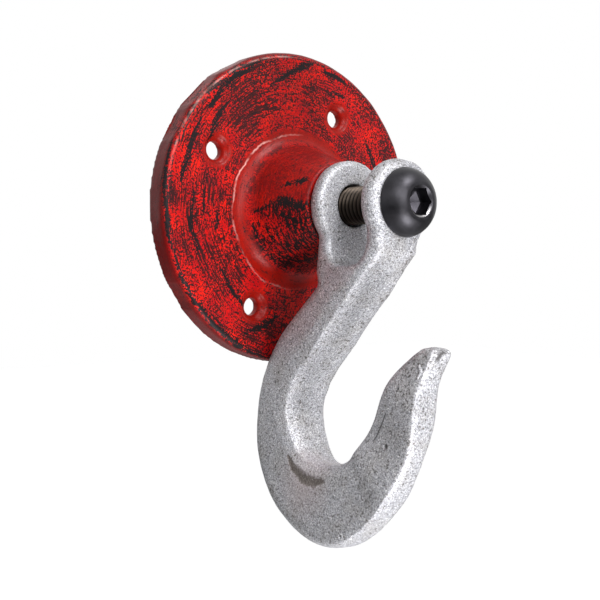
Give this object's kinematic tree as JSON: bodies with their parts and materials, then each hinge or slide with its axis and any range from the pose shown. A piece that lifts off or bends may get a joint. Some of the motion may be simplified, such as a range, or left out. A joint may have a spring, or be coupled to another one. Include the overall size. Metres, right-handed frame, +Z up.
{
  "type": "wall hook",
  "caption": "Round wall plate with a flared boss, and a heavy hook whose two ears are clamped against the boss by a domed socket screw.",
  "frame": {"origin": "centre of the plate's back, on the axis of the screw", "axes": "-Y straight out of the wall along the screw, +Z up as the hook hangs, +X to the right seen from in front"},
  "size_m": [0.105, 0.0813, 0.1589],
  "materials": {
    "red_paint": "worn semi-gloss red paint over dark cast iron",
    "silver_paint": "granular silver paint over forged steel, lightly worn",
    "black_oxide_steel": "satin black oxide"
  },
  "bodies": {
    "root": {"wall_plate": "red_paint", "clevis_hook": "silver_paint", "button_head_screw": "black_oxide_steel"}
  },
  "joints": []
}
